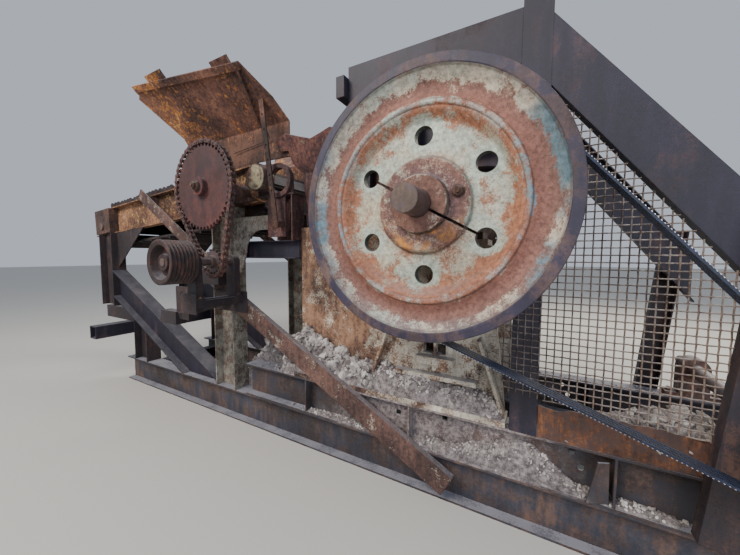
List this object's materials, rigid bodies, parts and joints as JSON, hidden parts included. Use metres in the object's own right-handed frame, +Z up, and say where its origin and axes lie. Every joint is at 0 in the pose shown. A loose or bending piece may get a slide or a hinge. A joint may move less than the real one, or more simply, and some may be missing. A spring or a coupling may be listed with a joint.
{
  "type": "jaw crushing plant with an apron feeder",
  "caption": "Jaw crusher with twin flywheels on a steel beam base, fed by a chain-driven apron feeder under a hopper, with a belt drive behind a mesh guard.",
  "frame": {"origin": "on the ground, midway between the two sides, under the crusher's eccentric shaft", "axes": "+X along the plant from the feeder to the drive, +Y from the near side with the belts to the far side, +Z up"},
  "size_m": [7.5097, 2.5805, 3.3278],
  "materials": {
    "rust": "old paint over rust, mostly rust",
    "dark_rust": "dark purple-brown weathered steel",
    "mint": "pale green paint worn through to rust",
    "yellow": "yellow paint streaked with rust",
    "cast": "rusted cast iron",
    "mint_cast": "cast iron with pale green paint worn to rust",
    "liner": "worn manganese steel",
    "belt": "weathered rubber",
    "shaft": "rusted turned steel"
  },
  "bodies": {
    "plant": {"lower_beams": "rust", "upper_sills": "rust", "frame_ties": "dark_rust", "leg_posts": "rust", "mid_posts": "mint", "corner_posts": "rust", "diagonal_beams": "dark_rust", "channel_braces": "rust", "cross_box_beam": "dark_rust", "crusher_side_near": "mint_cast", "crusher_side_far": "mint_cast", "front_wall": "cast", "toggle_block": "cast", "fixed_jaw_liner": "liner", "pitman": "cast", "swing_jaw_liner": "liner", "toggle_plate": "cast", "shaft_bearings": "cast", "drive_belts": "belt", "drive_bearings": "cast", "apex_posts": "dark_rust", "crown_beams": "dark_rust", "crown_posts": "dark_rust", "sloping_beams": "dark_rust", "rear_posts": "rust", "guard_ties": "dark_rust", "guard_mesh": "rust", "feeder_sides": "yellow", "feeder_ties": "dark_rust", "feeder_apron": "dark_rust", "tail_shaft": "shaft", "feeder_bearings": "cast", "drive_chain": "dark_rust", "jackshaft_bracket": "rust", "hopper_wings": "yellow", "feed_chute": "rust"},
    "crusher_rotor": {"eccentric_shaft": "shaft", "flywheel_near": "mint_cast", "flywheel_far": "mint_cast"},
    "drive_rotor": {"drive_sheave": "cast", "drive_shaft": "shaft"},
    "feeder_head": {"head_shaft": "shaft", "large_sprocket": "rust"},
    "jack_rotor": {"jackshaft": "shaft", "drum_sheave": "cast"}
  },
  "joints": [
    {"name": "rotor_spin", "type": "hinge", "parent": "plant", "child": "crusher_rotor", "pos_m": [0, 0, 1.95], "axis": [0, 1, 0], "continuous": true},
    {"name": "drive_spin", "type": "hinge", "parent": "plant", "child": "drive_rotor", "pos_m": [1.62, 0, 0.834], "axis": [0, 1, 0], "continuous": true},
    {"name": "feeder_spin", "type": "hinge", "parent": "plant", "child": "feeder_head", "pos_m": [-2.02, 0, 2.26], "axis": [0, 1, 0], "continuous": true},
    {"name": "jack_spin", "type": "hinge", "parent": "plant", "child": "jack_rotor", "pos_m": [-1.90543, 0, 1.61026], "axis": [0, 1, 0], "continuous": true}
  ],
  "couplings": [
    {"joint": "drive_spin", "follows": "rotor_spin", "ratio": 3.8142},
    {"joint": "jack_spin", "follows": "feeder_spin", "ratio": 3}
  ]
}
